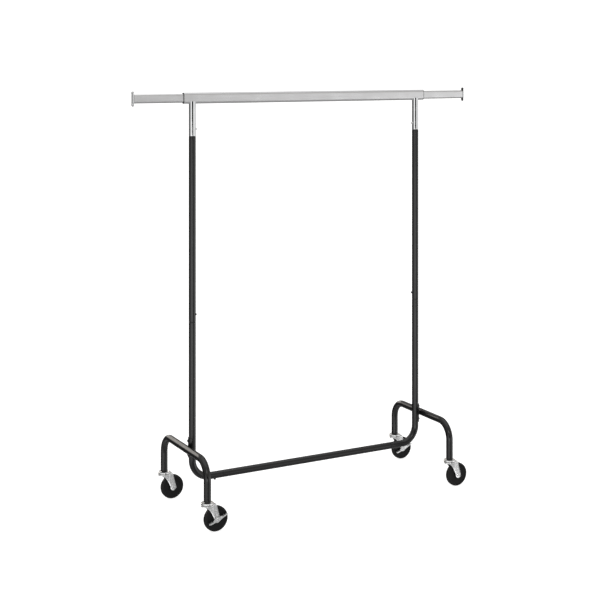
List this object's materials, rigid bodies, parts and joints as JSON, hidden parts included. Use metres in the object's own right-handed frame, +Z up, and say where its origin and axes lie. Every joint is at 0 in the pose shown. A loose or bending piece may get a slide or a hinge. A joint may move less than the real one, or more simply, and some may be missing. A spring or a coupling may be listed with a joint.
{
  "type": "garment rail",
  "caption": "Rolling garment rail: flat-oval hanging bar with pull-out ends on two knock-down posts, arched end frames and swivel casters with rocking brakes.",
  "frame": {"origin": "on the floor under the middle of the rail", "axes": "+X along the hanging bar to the right, +Y to the rear, +Z up"},
  "size_m": [1.5, 0.4583, 1.6075],
  "materials": {
    "black_powder_coat": "black powder coat, satin",
    "chrome_plate": "bright chrome plate",
    "satin_steel": "satin plated steel",
    "zinc_plate": "bright zinc plate",
    "bearing_steel": "polished",
    "black_plastic": "moulded, fine texture",
    "wheel_polymer": "moulded hard black rubber"
  },
  "bodies": {
    "frame": {"bottom_rail": "black_powder_coat", "hanging_bar": "satin_steel", "lower_post_left": "black_powder_coat", "upper_post_left": "black_powder_coat", "chrome_post_left": "chrome_plate", "bar_bush_left": "black_plastic", "end_frame_left": "black_powder_coat", "saddle_plate_left": "black_powder_coat", "saddle_bolt_upper_left": "black_powder_coat", "saddle_bolt_lower_left": "black_powder_coat", "lower_post_right": "black_powder_coat", "upper_post_right": "black_powder_coat", "chrome_post_right": "chrome_plate", "bar_bush_right": "black_plastic", "end_frame_right": "black_powder_coat", "saddle_plate_right": "black_powder_coat", "saddle_bolt_upper_right": "black_powder_coat", "saddle_bolt_lower_right": "black_powder_coat", "leg_plug_front_left": "black_plastic", "caster_stem_front_left": "zinc_plate", "ball_race_front_left": "bearing_steel", "leg_plug_front_right": "black_plastic", "caster_stem_front_right": "zinc_plate", "ball_race_front_right": "bearing_steel", "leg_plug_rear_left": "black_plastic", "caster_stem_rear_left": "zinc_plate", "ball_race_rear_left": "bearing_steel", "leg_plug_rear_right": "black_plastic", "caster_stem_rear_right": "zinc_plate", "ball_race_rear_right": "bearing_steel"},
    "extension_left": {"bar_extension_left": "satin_steel", "extension_glide_left": "black_plastic", "end_stop_left": "chrome_plate"},
    "top_button_left": {"post_top_button_left": "chrome_plate"},
    "mid_button_left": {"post_mid_button_left": "black_powder_coat"},
    "rail_button_left": {"rail_button_left": "black_powder_coat"},
    "extension_right": {"bar_extension_right": "satin_steel", "extension_glide_right": "black_plastic", "end_stop_right": "chrome_plate"},
    "top_button_right": {"post_top_button_right": "chrome_plate"},
    "mid_button_right": {"post_mid_button_right": "black_powder_coat"},
    "rail_button_right": {"rail_button_right": "black_powder_coat"},
    "swivel_front_left": {"caster_fork_front_left": "zinc_plate", "axle_front_left": "zinc_plate"},
    "roller_front_left": {"wheel_front_left": "wheel_polymer", "wheel_bush_front_left": "black_plastic"},
    "brake_front_left": {"brake_lever_front_left": "zinc_plate"},
    "swivel_front_right": {"caster_fork_front_right": "zinc_plate", "axle_front_right": "zinc_plate"},
    "roller_front_right": {"wheel_front_right": "wheel_polymer", "wheel_bush_front_right": "black_plastic"},
    "swivel_rear_left": {"caster_fork_rear_left": "zinc_plate", "axle_rear_left": "zinc_plate"},
    "roller_rear_left": {"wheel_rear_left": "wheel_polymer", "wheel_bush_rear_left": "black_plastic"},
    "swivel_rear_right": {"caster_fork_rear_right": "zinc_plate", "axle_rear_right": "zinc_plate"},
    "roller_rear_right": {"wheel_rear_right": "wheel_polymer", "wheel_bush_rear_right": "black_plastic"},
    "brake_rear_right": {"brake_lever_rear_right": "zinc_plate"}
  },
  "joints": [
    {"name": "extension_slide_left", "type": "slide", "parent": "frame", "child": "extension_left", "axis": [1, 0, 0], "range_m": [0, 0.199]},
    {"name": "top_button_press_left", "type": "slide", "parent": "frame", "child": "top_button_left", "axis": [-1, 0, 0], "range_m": [0, 0.0055], "stiffness_N_per_m": 500, "springref_m": -0.002},
    {"name": "mid_button_press_left", "type": "slide", "parent": "frame", "child": "mid_button_left", "axis": [-1, 0, 0], "range_m": [0, 0.0055], "stiffness_N_per_m": 500, "springref_m": -0.002},
    {"name": "rail_button_press_left", "type": "slide", "parent": "frame", "child": "rail_button_left", "axis": [0, 0, 1], "range_m": [0, 0.0055], "stiffness_N_per_m": 500, "springref_m": -0.002},
    {"name": "extension_slide_right", "type": "slide", "parent": "frame", "child": "extension_right", "axis": [-1, 0, 0], "range_m": [0, 0.199]},
    {"name": "top_button_press_right", "type": "slide", "parent": "frame", "child": "top_button_right", "axis": [1, 0, 0], "range_m": [0, 0.0055], "stiffness_N_per_m": 500, "springref_m": -0.002},
    {"name": "mid_button_press_right", "type": "slide", "parent": "frame", "child": "mid_button_right", "axis": [1, 0, 0], "range_m": [0, 0.0055], "stiffness_N_per_m": 500, "springref_m": -0.002},
    {"name": "rail_button_press_right", "type": "slide", "parent": "frame", "child": "rail_button_right", "axis": [0, 0, 1], "range_m": [0, 0.0055], "stiffness_N_per_m": 500, "springref_m": -0.002},
    {"name": "caster_swivel_front_left", "type": "hinge", "parent": "frame", "child": "swivel_front_left", "pos_m": [-0.5362, -0.2045, 0.1], "axis": [0, 0, 1], "continuous": true},
    {"name": "wheel_roll_front_left", "type": "hinge", "parent": "swivel_front_left", "child": "roller_front_left", "pos_m": [-0.5032, -0.2045, 0.0465], "axis": [0, 1, 0], "continuous": true},
    {"name": "brake_rock_front_left", "type": "hinge", "parent": "swivel_front_left", "child": "brake_front_left", "pos_m": [-0.5032, -0.2208, 0.0465], "axis": [0, 1, 0], "range_deg": [0, 28]},
    {"name": "caster_swivel_front_right", "type": "hinge", "parent": "frame", "child": "swivel_front_right", "pos_m": [0.5362, -0.2045, 0.1], "axis": [0, 0, 1], "continuous": true},
    {"name": "wheel_roll_front_right", "type": "hinge", "parent": "swivel_front_right", "child": "roller_front_right", "pos_m": [0.5692, -0.2045, 0.0465], "axis": [0, 1, 0], "continuous": true},
    {"name": "caster_swivel_rear_left", "type": "hinge", "parent": "frame", "child": "swivel_rear_left", "pos_m": [-0.5362, 0.2045, 0.1], "axis": [0, 0, 1], "continuous": true},
    {"name": "wheel_roll_rear_left", "type": "hinge", "parent": "swivel_rear_left", "child": "roller_rear_left", "pos_m": [-0.5032, 0.2045, 0.0465], "axis": [0, 1, 0], "continuous": true},
    {"name": "caster_swivel_rear_right", "type": "hinge", "parent": "frame", "child": "swivel_rear_right", "pos_m": [0.5362, 0.2045, 0.1], "axis": [0, 0, 1], "continuous": true},
    {"name": "wheel_roll_rear_right", "type": "hinge", "parent": "swivel_rear_right", "child": "roller_rear_right", "pos_m": [0.5692, 0.2045, 0.0465], "axis": [0, 1, 0], "continuous": true},
    {"name": "brake_rock_rear_right", "type": "hinge", "parent": "swivel_rear_right", "child": "brake_rear_right", "pos_m": [0.5692, 0.1882, 0.0465], "axis": [0, 1, 0], "range_deg": [0, 28]}
  ]
}
